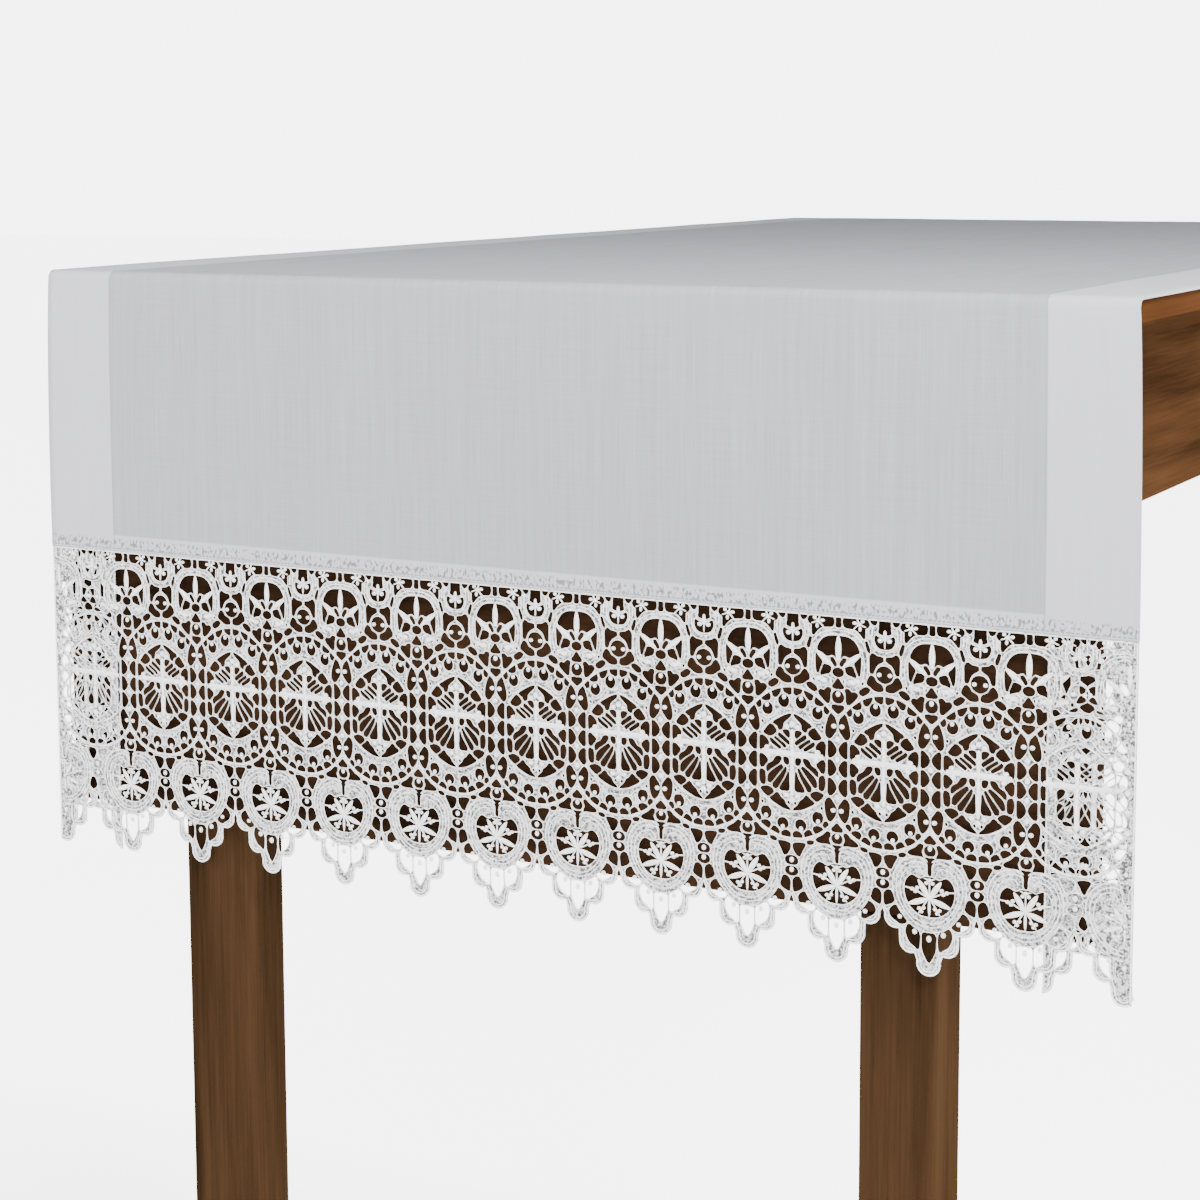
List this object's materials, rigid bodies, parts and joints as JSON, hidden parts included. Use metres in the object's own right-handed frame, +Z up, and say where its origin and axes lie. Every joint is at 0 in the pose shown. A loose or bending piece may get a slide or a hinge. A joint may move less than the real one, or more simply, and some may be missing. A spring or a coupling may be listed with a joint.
{
  "type": "altar cloth on table",
  "caption": "White altar cloth with a deep cross-and-heart lace border, lying along a plain wooden table and hanging over its ends.",
  "frame": {"origin": "on the floor, under the middle of the table", "axes": "+Z up; +Y along the table, from the end with the lace to the plain end; +X to the right when facing the lace"},
  "size_m": [0.908, 1.5118, 0.9027],
  "materials": {
    "cloth": "fine plain-woven white cotton mix, matt, with turned hems",
    "lace": "white corded lace, matt thread with a slight sheen",
    "wood": "oiled brown hardwood, satin"
  },
  "bodies": {
    "root": {"cloth": "cloth", "lace": "lace", "table_top": "wood", "end_board_near": "wood", "end_board_far": "wood", "rail_left": "wood", "rail_right": "wood", "leg_near_left": "wood", "leg_near_right": "wood", "leg_far_left": "wood", "leg_far_right": "wood"}
  },
  "joints": []
}
